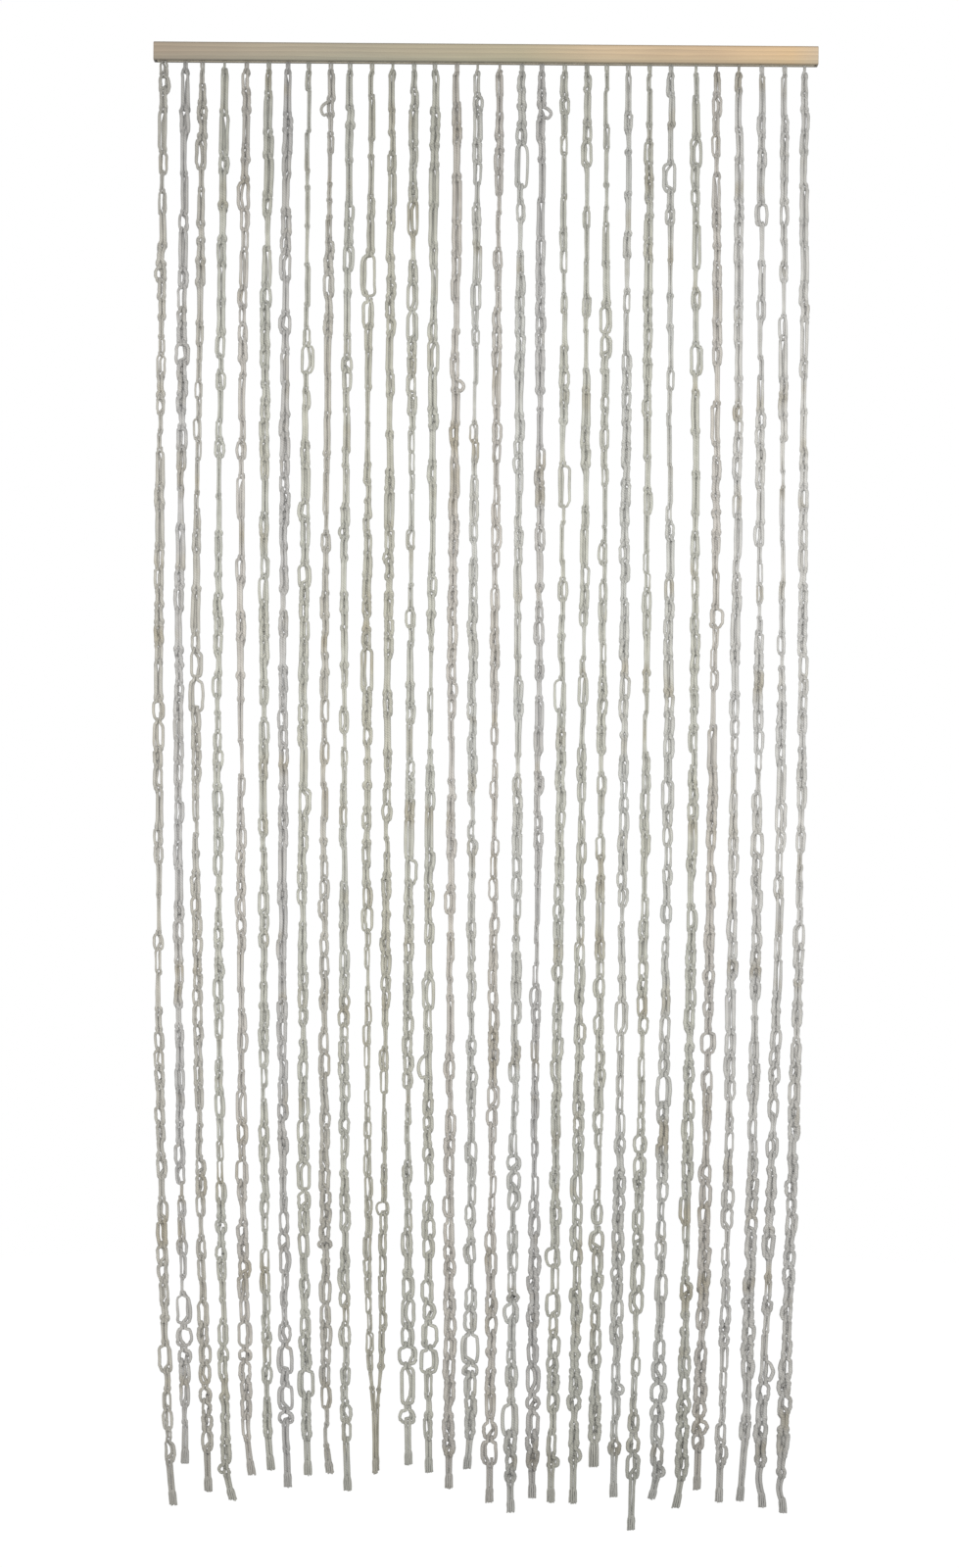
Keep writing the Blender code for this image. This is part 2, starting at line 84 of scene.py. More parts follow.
# One row for each string, left to right, in millimetres. top is its root's place along the lath, hang its
# length below the lath, shift how far its foot has moved sideways, lean how far its tail then leans and tail
# the plain end. loops gives the loops that stand out: the drop to the loop's top, its height, its width and
# how far it stands aside.
STRINGS = (
    String(-436, 1956, 23, 4, 54, (
        (3, 20, 14), (281, 20, 17, -2), (869, 24, 18), (898, 38, 16),
        (1741, 36, 20, -1), (1829, 26, 16), (1871, 28, 16, 2))),
    String(-407, 1900, 15, -2, 52, (
        (385, 28, 21), (1673, 38, 22, 1), (1717, 24, 24, 1), (1747, 18, 20, 1))),
    String(-384, 1938, 22, 0, 54, (
        (108, 40, 16, -1), (801, 34, 18, 1), (840, 42, 22, 1),
        (1681, 34, 17), (1766, 26, 17), (1798, 20, 19))),
    String(-354, 1949, 17, 9, 32, (
        (1571, 16, 18), (1606, 20, 17, -1), (1711, 28, 15), (1744, 17, 17), (1901, 14, 14, -5))),
    String(-324, 1915, 15, 6, 46, (
        (165, 38, 18, -2), (1396, 44, 16, -1), (1709, 32, 21), (1746, 14, 20), (1763, 26, 18, -1))),
    String(-294, 1908, 13, 4, 46, ((308, 26, 17), (701, 36, 15, -1), (1181, 20, 15), (1721, 18, 15, 1))),
    String(-268, 1931, 13, 1, 48, (
        (261, 36, 17, -1), (344, 26, 18, -1), (1711, 24, 19), (1741, 36, 23),
        (1794, 32, 23), (1830, 15, 23))),
    String(-240, 1915, 12, 1, 50, (
        (386, 37, 19, 2), (598, 26, 17, -2), (683, 30, 19), (986, 36, 18, 3),
        (1491, 37, 20), (1532, 24, 19), (1773, 36, 24))),
    String(-210, 1912, 8, 5, 34, ((55, 22, 14, -8), (1598, 9, 21), (1651, 30, 17), (1686, 26, 16))),
    String(-184, 1935, 9, 2, 66, ((251, 34, 16, 1), (401, 20, 17), (631, 16, 15, -2), (1769, 24, 15))),
    String(-154, 1911, 12, 0, 84, ((262, 56, 22, -2), (326, 36, 17, -2), (796, 58, 18), (1146, 32, 17))),
    String(-126, 1908, -2, 0, 84, ((665, 15, 16, -1), (1006, 22, 16), (1545, 18, 19, -1))),
    String(-97, 1900, 5, 1, 54, (
        (189, 46, 16), (301, 35, 17), (341, 38, 17), (1081, 34, 18, 3),
        (1676, 38, 20, 1), (1740, 24, 28), (1768, 50, 21), (1826, 18, 24, -1))),
    String(-69, 1910, 5, 1, 46, (
        (379, 42, 17), (1241, 42, 18), (1344, 37, 21, -5), (1681, 22, 19, 2), (1710, 31, 24, 2),
        (1744, 32, 26, 1))),
    String(-39, 1931, 3, 0, 46, (
        (430, 18, 18, 5), (1351, 26, 16, -1), (1536, 28, 16, -2), (1572, 30, 15, -1))),
    String(-11, 1905, 4, -5, 44, (
        (301, 34, 15), (1601, 26, 18, -2), (1691, 28, 19, -1), (1723, 39, 26, -1), (1765, 14, 24, -1))),
    String(19, 1950, 0, 0, 50, (
        (626, 33, 16, 1), (1386, 32, 18, 1), (1802, 34, 15), (1842, 22, 22), (1867, 32, 24, -1))),
    String(49, 1963, -2, 1, 36, (
        (111, 58, 20, 1), (1481, 18, 21), (1503, 24, 20), (1667, 11, 18, 1),
        (1681, 26, 22, -2), (1816, 44, 24, -2), (1908, 14, 17))),
    String(76, 1944, 0, 1, 40, (
        (60, 18, 14, 8), (1735, 26, 17), (1765, 36, 20, 1), (1807, 16, 21, 1), (1828, 32, 19, 1))),
    String(107, 1949, -5, 0, 42, (
        (546, 56, 18, 2), (836, 44, 18, -2), (1605, 26, 22, -3), (1667, 31, 23, -1), (1888, 14, 14, 5))),
    String(137, 1950, -5, 0, 48, ((108, 32, 16), (831, 40, 15), (1506, 38, 17, -2), (1876, 20, 15, 4))),
    String(164, 1901, -4, 0, 34, ((331, 34, 18), (371, 28, 17, 1), (1546, 26, 17, -1), (1582, 28, 22, -1))),
    String(193, 1941, -6, 0, 46, ((652, 26, 16, -1), (1271, 44, 19), (1788, 16, 14, 6), (1866, 18, 19))),
    String(222, 1986, -11, 0, 62, (
        (1452, 23, 20), (1481, 28, 19), (1551, 32, 17, -1), (1622, 40, 20),
        (1829, 24, 18), (1861, 20, 20), (1885, 32, 21))),
    String(251, 1944, -6, -7, 26, (
        (136, 38, 19, -2), (971, 40, 18), (1371, 42, 22), (1640, 36, 19, 1),
        (1757, 27, 21), (1787, 26, 25), (1817, 22, 20, -1), (1900, 15, 14, 5))),
    String(285, 1955, -6, -8, 40, (
        (102, 39, 17), (382, 39, 18, 1), (1535, 37, 16, -3), (1827, 16, 15, -3))),
    String(313, 1931, -13, 0, 54, ((738, 26, 20, 3), (1312, 28, 22), (1813, 20, 20), (1838, 18, 24, 2))),
    String(343, 1947, -13, 0, 48, ((1708, 11, 15), (1723, 14, 15), (1871, 26, 17, 2))),
    String(374, 1945, -11, -5, 70, ((190, 28, 19), (1041, 34, 18), (1670, 16, 17, -2), (1838, 26, 16, -1))),
    String(405, 1954, -22, 6, 58, ((1000, 40, 16, 1), (1675, 16, 16, 1), (1755, 32, 22, 4))),
    String(432, 1961, -20, 5, 50, ((711, 22, 13), (1165, 32, 17), (1681, 20, 17, -2))),
)
LEFT_COUNT = 16

# Most strings leave the strip doubled, and these leave it as one run of cord
SINGLE_LEADS = (3, 11, 15, 16, 25, 26, 27, 30)

# Strings 11 and 12 hang together at the foot, one in front of the other: how far each stands off, how far it
# has moved over to meet the other, and the drops between which it does
STAND_OFF = {10: -4.8, 11: 4.6}
MOVED_OVER = {10: 6, 11: -6.5}
MOVES_FROM, MOVES_TO = 1740, 1840

# The tight chain's width, the cord's thickness and the share of tight stitches that show no gap, at a drop:
# the cord is worked looser to the foot
Breadth = namedtuple("Breadth", "drop chain cord closed")
BREADTHS = (
    Breadth(0, 10.4, 4.9, 1.0),
    Breadth(90, 10.4, 4.8, 0.9),
    Breadth(200, 10.4, 4.8, 0.62),
    Breadth(800, 10.4, 4.8, 0.6),
    Breadth(1150, 11.2, 4.65, 0.56),
    Breadth(1400, 12.4, 4.8, 0.52),
    Breadth(1650, 13.8, 5.3, 0.48),
    Breadth(2000, 14.2, 5.8, 0.5),
)

# The strings at the left are worked a little fuller above this drop and those at the right below it, by this
# share at the lath's ends. Strings 11 and 12 are slender towards the foot: their share of the full width, and
# the drops between which they become so.
FULLER = 0.1
LEVEL_DROP = 875
SLENDER = {10: 0.7, 11: 0.7}
SLENDER_FROM, SLENDER_TO = 1300, 1450

# How many sides the cord has
SIDES = 6

# How the cord's runs lie at a crossing, in cord thicknesses
BESIDE = 0.52
IN_FRONT = 0.88
BEHIND = 0.88
EYE = 1.05

# A stitch's width, in cord thicknesses, if it is tight, near the strip or slack
TIGHT_FROM, TIGHT_TO = 1.65, 2.8
NEAR_FROM, NEAR_TO = 1.9, 2.3
SLACK_FROM, SLACK_TO = 2.9, 4.0

# The drop above which a stitch is near the strip, and how many times the chain's width a slack one may be
NEAR_STRIP = 60
WIDEST_SLACK = 1.3

# Where the run down the back lies, in cord thicknesses: off the middle in a tight stitch, and inside the leg
# in a slack one and in an open loop
MIDDLE_LANE = 0.2
LANE_FROM, LANE_TO = 0.35, 0.85
LOOP_LANE = 0.78

# How the tension makes the cord thinner and fuller: its largest step, how strongly it is drawn back and its
# bounds. Then the cord's share in open loops and in the first stitch.
DETAIL_SEED = 900
TENSION_STEP = 0.34
TENSION_BACK = 0.3
THINNEST, FULLEST = 0.56, 1.15
LOOP_CORD = 0.95
FIRST_CORD = 0.8

# How often two tight stitches are drawn out into one, and down to which drop. Then the height from which a
# stitch isn't slack, and the greatest height of two.
LONG_SHARE, LONG_TO = 0.5, 1350
LONG_STITCH, LONGEST_STITCH = 38, 60

# How far stitches turn at most, in radians, and how far aside a loop has to stand to be a ring
PLAIN_TURN = 0.3
LOOP_TURN = 0.12
SIDE_RING = 3

# How far stitches lie above the table's drops, how far points stray, in cord thicknesses, and how the cord
# swells along its length
BAR_UP = 1.6
LOOSE = 0.09
SWELL, SWELL_STEP = 0.05, 0.11
PATH_SEED = 950
THIN_CORD, THICK_CORD = 0.96, 1.04

# The runs of a stitch, in cord thicknesses. A name with share, most or least is a share of its half width or
# height. First the bend: its reach, how far up its sides are, how far up and out the points between are, and
# how much of the loop's place aside they take.
HEAD, HEAD_SHARE = 0.8, 0.93
BEND_UP, BEND_MOST = 1.2, 0.25
BEND_LOW = 0.25
BOW_OPEN, BOW_TIGHT = 0.8, 0.78
BEND_ASIDE, LOW_ASIDE = 0.55, 0.7

# A tight stitch's leg: its shoulder's reach and place, where it starts and ends, and its depths
SHOULDER_SHARE, SHOULDER_REACH = 0.75, 0.95
SHOULDER_ASIDE, SHOULDER_DOWN = 0.7, 0.35
LEG_START, LEG_START_MOST = 1.3, 0.35
LEG_END, LEG_END_LEAST = 2, 0.6
LEG_DEPTHS = (-0.75, -0.4, -0.25, -0.1)

# An open loop's leg: the half width from which a stitch is open, how squarely a long and a round one bow out,
# how many half widths tall a long one is, and where the leg's points lie
OVAL_FROM = 1.7
OVAL_LONG, OVAL_ROUND = 0.14, 0.24
LONG_OVAL = 3
OVAL_SHARES = (0.08, 0.26, 0.5, 0.74)
OVAL_ASIDE, OVAL_ASIDE_GAIN = 0.6, 1.6
OVAL_DEPTH, OVAL_DEPTH_GAIN = -0.75, 0.7

# A ring that stands off to one side: its round leg's points, its straight leg and the run behind it
RING_SHARES = (0.14, 0.32, 0.5, 0.68, 0.86)
RING_ROUND = 0.5
RING_DEPTH = -0.4
RING_STRAIGHT = 0.5
RING_BACK_DEPTHS = (0.5, 0.8)
RING_BACK_IN, RING_BACK_UP = 0.6, 1.5

# The run down a tight stitch's back: its points' shares of its lane and of the height, their depth, and its
# end's share of the lane, depth and height above the foot
TIGHT_BACK = ((0.8, 0.25), (1, 0.55))
NESTLED = 0.62
TIGHT_BACK_END = (0.7, 0.75, 2.0)

# The run down an open loop's back: its start's share of the lane, depth and drop, the depths between, its
# end's share and depth, and how far down and up its points lie
OPEN_BACK_START = (0.75, 0.8, 0.45)
OPEN_BACK_DEPTHS = (0.5, 0.45, 0.5)
OPEN_BACK_END = (0.72, 0.7)
BACK_HIGH, BACK_HIGH_MOST = 1.6, 0.35
BACK_LOW, BACK_LOW_LEAST = 2.2, 0.55
BACK_END_UP, BACK_END_MOST = 1.35, 0.35

# The cord's thickness in a doubled lead and in a single one, down to this drop, and how much of the lead is
# straight
DOUBLE_LEAD, SINGLE_LEAD = 3.4, 4.2
LEAD_TO = 8
LEAD_STRAIGHT = 0.45

# The ring that the first stitch hangs in, in cord thicknesses: its half width, its lower part's share of it,
# how far up its neck, sides and lower part are, and where the cord enters and leaves it
START_RING = 0.34
RING_NARROW = 0.7
RING_UP = (1.4, 0.8, 0.1)
RING_ENTRY = (-0.3, -0.3)
RING_EXIT = (0.2, 0.75)

# The tail's two runs, how they swing round each other, and where the second one starts, in cord thicknesses
TAIL_CORD = 4.7
TAIL_RADIUS = 0.5 * TAIL_CORD
TAIL_SWING = 0.3
TAIL_LAY = 60
TAIL_STEP = 3
TAIL_FROM = 3
TAIL_DRAWN_IN = 10
TAIL_START = ((0.3, -1.6), (-0.3, 0.4))

# The cut end, where the plies of both runs spring open: its size, how thick, ragged, loose and many they are,
# in how many rows, where their points lie, how they open, and where and how thin they begin
END_WIDTH = 11.4
END_DEPTH = 7.6
PLY = 2.2
END_RAGGED = 2.2
PLY_LOOSE = 0.3
PLIES = 12
PLY_ROWS = 3
PLY_SHARES = (0, 0.2, 0.45, 0.7, 1)
PLY_CLOSED, PLY_OPENED, PLY_OPENS = 0.55, 0.45, 4
PLY_ABOVE = 2
PLY_ROOT = 0.6
END_ROUND = 1.1

# A few ends are bushier than the rest: their height and width
BUSHY_ENDS = {21: (35, 14)}

# The tails that bow to the left before they end: how far
TAIL_BOWS = {29: -3, 30: -4}

# Colours, 0 to 255, set to match the photograph, with the numbers of the strings of each tint
TINTS = {
    "warm": ((137, 135, 129), (1, 3, 9)),
    "brown": ((136, 135, 126), (11, 12)),
    "cool": ((137, 136, 134), (2, 7, 19)),
    "olive": ((139, 139, 132), (4, 6, 8, 10, 13, 14, 20, 21, 22, 24, 26)),
    "beige": ((141, 138, 133), (5, 15, 17, 27)),
    "light": ((142, 142, 138), (16, 18, 23, 25)),
    "pale": ((146, 145, 142), (28, 29, 30, 31)),
}
WARMER = (1, 0, -2)
FRESH_FIBRE = (150, 149, 144)
BROWN_PATCH = (121, 114, 97)
WEBBING = (150, 142, 124)
LOWER_TINT = (242, 248, 251)
# The wood's tone along the lath, greyer at the left and redder at the right, with painted light in it: darker
# at the left end, lighter at the right
WOOD_TONE_AND_LIGHT_ALONG = (
    (0.0, (112, 101, 87)),
    (0.3, (119, 112, 96)),
    (0.55, (122, 114, 94)),
    (0.66, (138, 122, 99)),
    (0.85, (142, 122, 97)),
    (0.96, (150, 127, 97)),
    (1.0, (143, 127, 106)),
)
GAMMA = 2.2

# The cords whose feet are browner, by how much, and the drops between which they become so
STAINED_FEET = {"cord_brown": 0.4}
STAIN_FROM, STAIN_TO = 1650, 1850

# Painted light and shade on the cord at these drops: painted shade under the strip, painted light about the
# middle, and darker towards the foot. Also how much the painted light changes along the lath. The curve that
# holds the values ends at 1, so they are divided by its top.
PAINTED_LIGHT_BY_DROP = (
    (0, 0.8), (30, 0.89), (120, 0.94), (300, 1.08), (900, 1.14), (1250, 1.08), (1550, 0.97), (1750, 0.94),
    (1860, 0.87), (1900, 0.72), (1960, 0.68),
)
CURVE_TOP = 2
PAINTED_LIGHT_TILT = 0.06

# The marks in each surface: how many lie in a metre, how detailed and rough they are, between which of their
# values they count, and what these become
Mottle = namedtuple("Mottle", "scale detail roughness low high least most")
CORD_DRIFT = Mottle(7.0, 3.0, 0.5, 0.35, 0.65, 0, 1)
CORD_BROWN = Mottle(16.0, 2.0, 0.5, 0.58, 0.72, 0, 0.6)
CORD_PATCH = Mottle(60.0, 3.0, 0.6, 0.25, 0.75, 0.84, 1.12)
CORD_FIBRE = Mottle(1400.0, 3.0, 0.6, 0.3, 0.7, 0.88, 1.08)
WEB_FIBRE = Mottle(1500.0, 2.0, 0.5, 0.3, 0.7, 0.85, 1.1)
WOOD_FIBRE = Mottle(1100.0, 4.0, 0.65, 0.3, 0.7, 0.9, 1.08)
WOOD_BLOTCH = Mottle(30.0, 3.0, 0.5, 0.3, 0.7, 0.94, 1.06)

# The cord's surface: its plies, the length in which they turn once, their grooves and the painted shade in
# them, the painted light along a stitch and the painted shade where stitches meet, how far that reaches, and
# how pale the cut ends are
COUNT_OF_PLIES = 3
PLY_LAY = 10
PLY_EDGE, PAINTED_GROOVE_SHADE = 0.7, 0.62
PAINTED_LIGHT_APART, PAINTED_SHADE_AT_JOINS = 1.03, 0.88
JOIN_SHADE_REACH = 4.5
PALE_ENDS = 0.18
FIBRE_RELIEF = 0.5
CORD_ROUGHNESS, CORD_SHEEN, CORD_GLOSS = 0.86, 0.12, 0.25

# The lath's surface: its growth rings, how marks are stretched along it, how deep and how dark the painted
# shade at its upper and lower edges is, and where the lower tint is full, as a share of half its height
RING_CENTRE = (0, 0.045, 0.03)
RINGS = {"Scale": 62.0, "Distortion": 5.0, "Detail": 3.0, "Detail Scale": 1.2, "Detail Roughness": 0.6}
RING_LIGHT, RING_DARK = 1.05, 0.86
RING_RELIEF = 0.6
RING_STRETCH, FIBRE_STRETCH, BLOTCH_STRETCH = 0.035, 0.012, 0.25
UPPER_EDGE, UPPER_PAINTED_SHADE = 2.6, 0.56
LOWER_EDGE, LOWER_PAINTED_SHADE = 2.8, 0.38
TINT_DOWN = 0.7
WOOD_ROUGHNESS, WOOD_GLOSS = 0.62, 0.35
WOOD_ROUGH_RANGE = (0.3, 0.7, 0.54, 0.72)

# The woven strip's surface: how wide its threads are, how dark and light it is, and how rounded its edges are
THREAD = 0.9
WEAVE_DARK, WEAVE_LIGHT = 0.78, 1.08
WEB_ROUGHNESS = 0.9
STRIP_EDGE, STRIP_EDGE_STEPS = 0.8, 3

# How strong the relief of each surface is, and how deep
CORD_RELIEF = (0.7, 0.35)
WOOD_RELIEF = (0.5, 0.2)
WEB_RELIEF = (0.6, 0.25)

# The floor, in metres. It glows white and is hardly lit by the lamps, so it is no brighter than the light
# around it.
FLOOR_Z = -2.04
FLOOR_RADIUS = 3
FLOOR_STEPS = 64
FLOOR_GREY = 0.1
FLOOR_GLOW = 0.9
FLOOR_ROUGHNESS = 0.9

# Each lamp's name, place and size in metres and power in watts
LAMPS = (
    ("key", (-0.8, -5.2, -0.3), 1.6, 195),
    ("fill", (0.8, -5.2, -0.9), 1.6, 162),
)

# The camera, in metres, degrees and pixels of the photograph
FRAME_HEIGHT = 1600
PIXELS_PER_METRE = 753.2
CAMERA_AWAY = 4.5
CAMERA_ROLL = -0.42
CAMERA_SEES_TO = 100
VIEW_CENTRE_X = -0.0015
VIEW_CENTRE_Z = -0.9885

Stitch = namedtuple("Stitch", "top foot half aside turn lane side cord")
Knot = namedtuple("Knot", "across depth drop steps")


def breadth_at(number, drop):
    """A string's widths and closed share at this drop, in proportion between the table's rows."""
    drops, chains, cords, closed = zip(*BREADTHS)
    along = STRINGS[number].top / (RAIL_LENGTH / 2)
    scale = 1 - FULLER * along * (1 - drop / LEVEL_DROP)
    scale *= np.interp(drop, (SLENDER_FROM, SLENDER_TO), (1, SLENDER.get(number, 1)))
    chain, cord = scale * np.interp(drop, drops, chains), scale * np.interp(drop, drops, cords)
    return Breadth(drop, chain, cord, np.interp(drop, drops, closed))


def lead_of(number):
    """How far the string runs straight down before its first stitch."""
    return min(LEAD, STRINGS[number].loops[0][0])


def stitches_of(number):
    """The string's stitches from its lead to its tail: the table's loops, with plain stitches between. A
    stitch that is drawn tight has no width of its own."""
    string = STRINGS[number]
    draw = random.Random(STITCH_SEED + number)
    found = []
    reached = lead_of(number)
    for loop in [Loop(*row) for row in string.loops] + [Loop(string.hang - string.tail, 0, 0)]:
        room = loop.drop - reached
        count = max(1, round(room / STITCH_PITCH)) if room > SHORTEST_RUN else 0
        shares = [1 + draw.uniform(-PITCH_SPREAD, PITCH_SPREAD) for _ in range(count)]
        for share in shares:
            tall = room * share / sum(shares)
            opened = draw.random() < OPEN_SHARE and tall > SHORTEST_OPEN
            wide = breadth_at(number, reached).chain * draw.uniform(OPEN_FROM, OPEN_TO) if opened else 0
            aside = draw.uniform(-PLAIN_ASIDE, PLAIN_ASIDE)
            found.append(Loop(reached, tall, wide, aside))
            reached += tall
        if loop.tall:
            found.append(loop)
            reached = loop.drop + loop.tall
    return found


def path_x(number, drop):
    """How far along the lath the string's middle is at this drop."""
    string = STRINGS[number]
    share = drop / string.hang
    into_tail = np.maximum(0, drop - (string.hang - 1.5 * string.tail)) / (1.5 * string.tail)
    wander = WANDER * np.sin(5 * share + number) * np.sin(math.pi * np.minimum(1, 1.2 * share))
    fan = FAN * string.top * np.sin(math.pi * share)
    moved = np.clip((drop - MOVES_FROM) / (MOVES_TO - MOVES_FROM), 0, 1)
    over = MOVED_OVER.get(number, 0) * moved**2 * (3 - 2 * moved)
    return string.top + fan + wander + over + string.shift * share**3 + string.lean * into_tail**1.5


def path_y(number, drop):
    """How far behind the strip's middle the string's middle is at this drop, or in front if below 0."""
    share = drop / STRINGS[number].hang
    if number in STAND_OFF:
        return STAND_OFF[number] * np.minimum(1, 2 * share) ** 2
    return WANDER * np.sin(4 * share + 2.3 * number) * share


def drawn_long(loops, draw):
    """The stitches, with some tight neighbours drawn out into one long stitch."""
    found = []
    for loop in loops:
        last = found[-1] if found else loop
        plain = found and not last.wide and not loop.wide
        chance = LONG_SHARE * max(0, 1 - loop.drop / LONG_TO)
        if plain and draw.random() < chance and last.tall + loop.tall < LONGEST_STITCH:
            found[-1] = last._replace(tall=last.tall + loop.tall)
        else:
            found.append(loop)
    return found


def plan_of(number):
    """The string's stitches, with what shows close up: how each is turned and where its third run lies."""
    draw = random.Random(DETAIL_SEED + number)
    plan = []
    full = 1
    for loop in drawn_long(stitches_of(number), draw):
        breadth = breadth_at(number, loop.drop + loop.tall / 2)
        full += draw.uniform(-TENSION_STEP, TENSION_STEP) - TENSION_BACK * (full - 1)
        full = min(max(full, THINNEST), FULLEST)
        cord = breadth.cord * (LOOP_CORD if loop.wide else full)
        slack = draw.random() > breadth.closed and loop.tall < LONG_STITCH
        tight = (SLACK_FROM, SLACK_TO) if slack else (TIGHT_FROM, TIGHT_TO)
        if loop.drop < NEAR_STRIP:
            tight = (NEAR_FROM, NEAR_TO)
        wide = loop.wide or min(cord * draw.uniform(*tight), WIDEST_SLACK * breadth.chain)
        half = (wide - cord) / 2
        side, lane_side = draw.choice((-1, 1)), draw.choice((-1, 1))
        lane = draw.uniform(-MIDDLE_LANE, MIDDLE_LANE) * cord
        if loop.wide:
            lane = lane_side * (half - LOOP_LANE * cord)
        elif slack:
            lane = lane_side * (half - draw.uniform(LANE_FROM, LANE_TO) * cord)
        turn = draw.uniform(-1, 1) * (LOOP_TURN if loop.wide else PLAIN_TURN)
        top, foot = loop.drop - BAR_UP, loop.drop + loop.tall - BAR_UP
        plan.append(Stitch(top, foot, half, loop.aside, turn, lane, side, cord))
    plan[0] = plan[0]._replace(cord=FIRST_CORD * plan[0].cord)
    return plan


def is_ring(stitch):
    """Whether the stitch stands off to one side as a ring, with the chain running on beside it."""
    return abs(stitch.aside) > SIDE_RING


def bend_of(stitch):
    """The bend at a stitch's foot, from one leg to the other."""
    cord = stitch.cord
    reach = HEAD * cord if is_ring(stitch) else max(HEAD * cord, HEAD_SHARE * stitch.half)
    over = 0 if is_ring(stitch) else BEND_ASIDE * stitch.aside
    across = stitch.side * reach
    up = min(BEND_UP * cord, BEND_MOST * (stitch.foot - stitch.top))
    bow = BOW_OPEN if stitch.half > OVAL_FROM * cord else BOW_TIGHT
    side, low = stitch.foot - up, stitch.foot - BEND_LOW * up
    return [
        Knot(over - across, 0, side, 3),
        Knot(LOW_ASIDE * over - bow * across, 0, low, 2),
        Knot(0, 0, stitch.foot, 2),
        Knot(LOW_ASIDE * over + bow * across, 0, low, 3),
        Knot(over + across, 0, side, 2),
    ]


def leg_of(stitch, sign):
    """A leg's points, from the crossing above to the bend below."""
    cord = stitch.cord
    tall = stitch.foot - stitch.top
    way = sign * stitch.side
    if is_ring(stitch):
        return ring_leg(stitch, way)
    if stitch.half > OVAL_FROM * cord:
        return oval_leg(stitch, way)
    shoulder = min(stitch.half, max(SHOULDER_SHARE * stitch.half, SHOULDER_REACH * cord))
    start = min(LEG_START * cord, LEG_START_MOST * tall)
    end = max(tall - LEG_END * cord, LEG_END_LEAST * tall)
    wide = stitch.aside + way * stitch.half
    depths = [depth * cord for depth in LEG_DEPTHS]
    return [
        Knot(SHOULDER_ASIDE * stitch.aside + way * shoulder, depths[0], stitch.top + SHOULDER_DOWN * cord, 2),
        Knot(wide, depths[1], stitch.top + start, 1),
        Knot(wide, depths[2], stitch.top + (start + end) / 2, 1),
        Knot(wide, depths[3], stitch.top + end, 2),
    ]


def oval_leg(stitch, way):
    """A leg of an open loop: it bows out to half the loop's width."""
    cord, tall = stitch.cord, stitch.foot - stitch.top
    oval = OVAL_LONG if tall > LONG_OVAL * stitch.half else OVAL_ROUND
    found = []
    for share in OVAL_SHARES:
        out = max(SHOULDER_REACH * cord, stitch.half * math.sin(math.pi * share) ** oval)
        over = min(1, OVAL_ASIDE + OVAL_ASIDE_GAIN * share) * stitch.aside
        depth = (OVAL_DEPTH + OVAL_DEPTH_GAIN * share) * cord
        found.append(Knot(over + way * out, depth, stitch.top + share * tall, 2))
    return found


def ring_leg(stitch, way):
    """A leg of a ring off to one side: half round on that side, and straight down on the other."""
    tall = stitch.foot - stitch.top
    depth = RING_DEPTH * stitch.cord
    if way * stitch.aside < 0:
        return [Knot(RING_STRAIGHT * way * stitch.cord, depth, stitch.top + tall / 2, 1)]
    reach = stitch.aside + way * stitch.half
    return [
        Knot(reach * math.sin(math.pi * share) ** RING_ROUND, depth, stitch.top + share * tall, 2)
        for share in RING_SHARES
    ]


def back_of(stitch):
    """The run down the stitch's back, from the crossing above it to the next: it keeps to its own lane."""
    if is_ring(stitch):
        return ring_back(stitch)
    if stitch.half < OVAL_FROM * stitch.cord:
        return tight_back(stitch)
    return open_back(stitch)


def ring_back(stitch):
    """The run behind a ring, on the side that the ring stands off to."""
    cord = stitch.cord
    way = math.copysign(RING_STRAIGHT * cord, stitch.aside)
    upper, lower = (depth * cord for depth in RING_BACK_DEPTHS)
    middle = stitch.top + (stitch.foot - stitch.top) / 2
    end = stitch.foot - RING_BACK_UP * cord
    return [Knot(way, upper, middle, 1), Knot(RING_BACK_IN * way, lower, end, 1)]


def tight_back(stitch):
    """The run down a tight stitch's back, nestled between its legs."""
    cord, tall = stitch.cord, stitch.foot - stitch.top
    lane = stitch.lane + stitch.aside
    end_share, end_depth, end_up = TIGHT_BACK_END
    return [
        *(Knot(share * lane, NESTLED * cord, stitch.top + down * tall, 1) for share, down in TIGHT_BACK),
        Knot(end_share * lane, end_depth * cord, stitch.foot - end_up * cord, 1),
    ]


def open_back(stitch):
    """The run down an open loop's back, close behind one leg."""
    cord, top, tall = stitch.cord, stitch.top, stitch.foot - stitch.top
    lane = stitch.lane + stitch.aside
    start_share, start_depth, start_down = OPEN_BACK_START
    end_share, end_depth = OPEN_BACK_END
    high = min(BACK_HIGH * cord, BACK_HIGH_MOST * tall)
    low = max(tall - BACK_LOW * cord, BACK_LOW_LEAST * tall)
    end_up = min(BACK_END_UP * cord, BACK_END_MOST * tall)
    middle = zip(OPEN_BACK_DEPTHS, (high, (high + low) / 2, low))
    return [
        Knot(start_share * lane, start_depth * cord, top + start_down * cord, 1),
        *(Knot(lane, depth * cord, top + down, 1) for depth, down in middle),
        Knot(end_share * lane, end_depth * cord, stitch.foot - end_up, 1),
    ]


def stitch_path(stitch):
    """One stitch of the chain, from the eye above it to just above its own."""
    cord = stitch.cord
    beside = stitch.side * BESIDE * cord
    return [
        Knot(-beside, 0, stitch.top - EYE * cord, 2),
        Knot(-beside, -IN_FRONT * cord, stitch.top, 2),
        *leg_of(stitch, -1),
        *bend_of(stitch),
        *reversed(leg_of(stitch, 1)),
        Knot(beside, -IN_FRONT * cord, stitch.top, 2),
        Knot(beside, 0, stitch.top - EYE * cord, 3),
        Knot(beside, BEHIND * cord, stitch.top, 2),
        *back_of(stitch),
    ]


